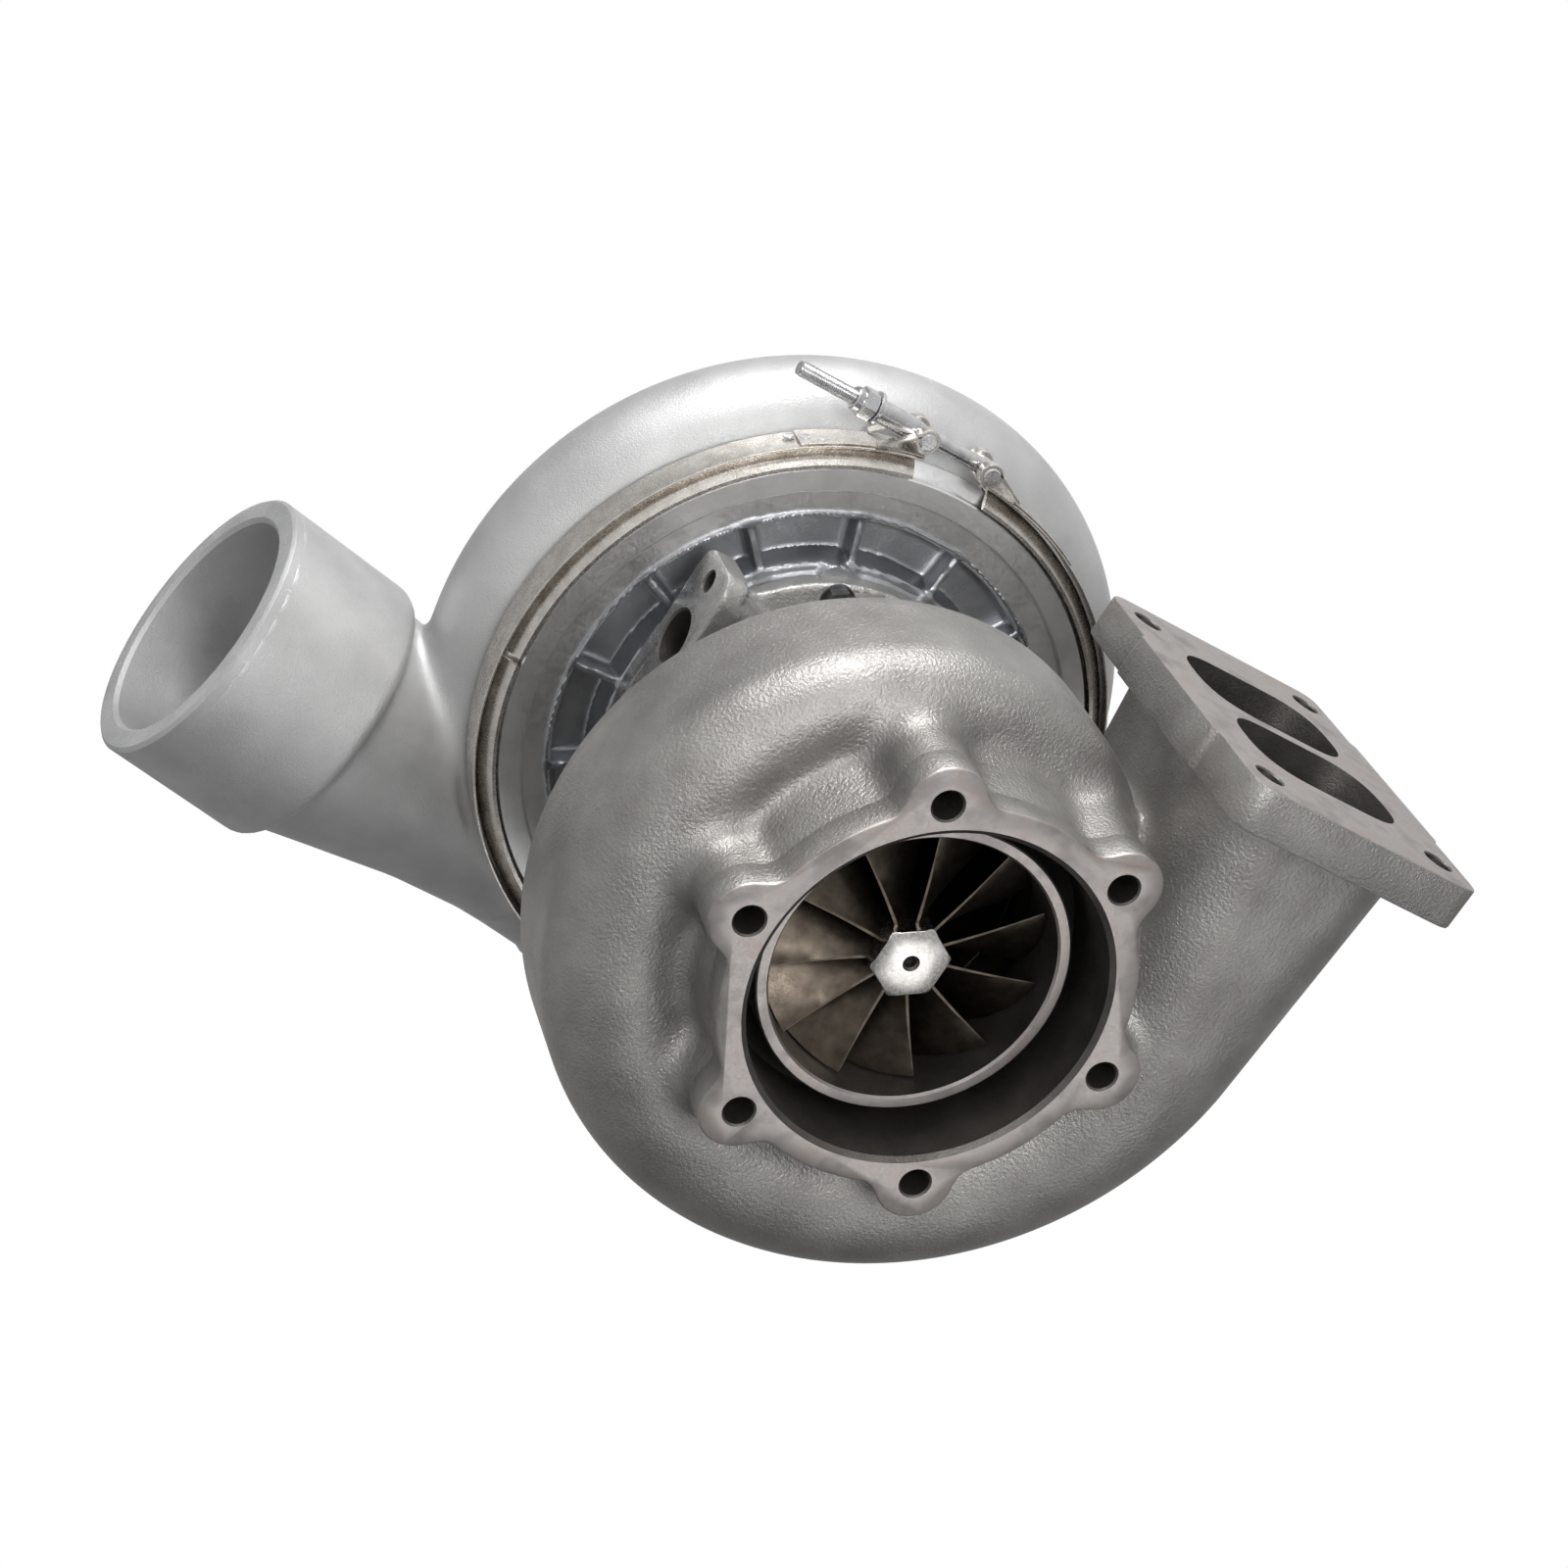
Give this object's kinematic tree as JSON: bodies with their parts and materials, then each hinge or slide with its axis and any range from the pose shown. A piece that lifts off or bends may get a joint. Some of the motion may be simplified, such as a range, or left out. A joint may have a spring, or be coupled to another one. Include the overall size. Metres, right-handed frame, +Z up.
{
  "type": "turbocharger",
  "caption": "Large twin-entry turbocharger with divided turbine housing, plain-bearing centre housing and a scroll compressor housing on a V-band clamp.",
  "frame": {"origin": "on the shaft axis, in the face of the turbine outlet flange", "axes": "+Y along the shaft from the turbine outlet to the compressor inlet, +Z up as installed, and -X out of the turbine inlet flange"},
  "size_m": [0.2926, 0.336, 0.3911],
  "materials": {
    "turbine_iron": "sand cast grey iron, rough, with machined flange faces",
    "turbine_alloy": "investment cast nickel alloy, dark bronze brown, bright machined hub hexagon",
    "centre_iron": "sand cast grey iron, rough, with machined pads",
    "shaft_steel": "ground steel",
    "ring_steel": "dark spring steel",
    "heat_shield_steel": "pressed stainless sheet, heat tinted",
    "bolt_steel": "plated steel",
    "bearing_bronze": "machined leaded bronze",
    "seal_plate_steel": "turned steel",
    "backplate_aluminium": "die cast aluminium with bright turned faces",
    "oring_rubber": "smooth black rubber",
    "compressor_aluminium": "fine bead blasted cast aluminium",
    "wheel_aluminium": "five axis machined aluminium",
    "clamp_stainless": "stainless strip with a slight straw tint",
    "clamp_hardware": "bright zinc plated steel"
  },
  "bodies": {
    "casing": {"turbine_housing": "turbine_iron", "turbine_seal_ring": "ring_steel", "heat_shield": "heat_shield_steel", "centre_housing": "centre_iron", "turbine_housing_bolts": "bolt_steel", "bearing_retaining_rings": "ring_steel", "thrust_bearing": "bearing_bronze", "compressor_seal_ring": "ring_steel", "seal_plate": "seal_plate_steel", "seal_plate_ring": "ring_steel", "compressor_backplate": "backplate_aluminium", "backplate_bolts": "bolt_steel", "backplate_oring": "oring_rubber", "compressor_housing": "compressor_aluminium", "clamp_strap": "clamp_stainless", "clamp_segments": "clamp_stainless", "clamp_head_pin": "clamp_hardware", "clamp_saddle_pin": "clamp_hardware", "clamp_t_bolt": "clamp_hardware", "clamp_sleeve": "clamp_hardware"},
    "rotor": {"turbine_wheel": "turbine_alloy", "rotor_shaft": "shaft_steel", "thrust_collar": "shaft_steel", "oil_flinger": "shaft_steel", "compressor_wheel": "wheel_aluminium", "compressor_nut": "shaft_steel"},
    "bearing_turbine": {"journal_bearing_turbine": "bearing_bronze"},
    "bearing_compressor": {"journal_bearing_compressor": "bearing_bronze"},
    "clamp_washer_slider": {"clamp_washer": "clamp_hardware"},
    "clamp_nut_turner": {"clamp_nut": "clamp_hardware"}
  },
  "joints": [
    {"name": "rotor_spin", "type": "hinge", "parent": "casing", "child": "rotor", "pos_m": [0, 0.13, 0], "axis": [0, 1, 0], "continuous": true},
    {"name": "bearing_turbine_spin", "type": "hinge", "parent": "casing", "child": "bearing_turbine", "pos_m": [0, 0.1125, 0], "axis": [0, 1, 0], "continuous": true},
    {"name": "bearing_compressor_spin", "type": "hinge", "parent": "casing", "child": "bearing_compressor", "pos_m": [0, 0.1485, 0], "axis": [0, 1, 0], "continuous": true},
    {"name": "washer_slide", "type": "slide", "parent": "casing", "child": "clamp_washer_slider", "axis": [0, 0, -1], "range_m": [0, 0.0055]},
    {"name": "nut_spin", "type": "hinge", "parent": "clamp_washer_slider", "child": "clamp_nut_turner", "pos_m": [-0.1328, 0.194, -0.0545], "axis": [0, 0, -1], "range_deg": [0, 2160]}
  ],
  "couplings": [
    {"joint": "washer_slide", "follows": "nut_spin", "m_per_rad": 0.00014435}
  ]
}
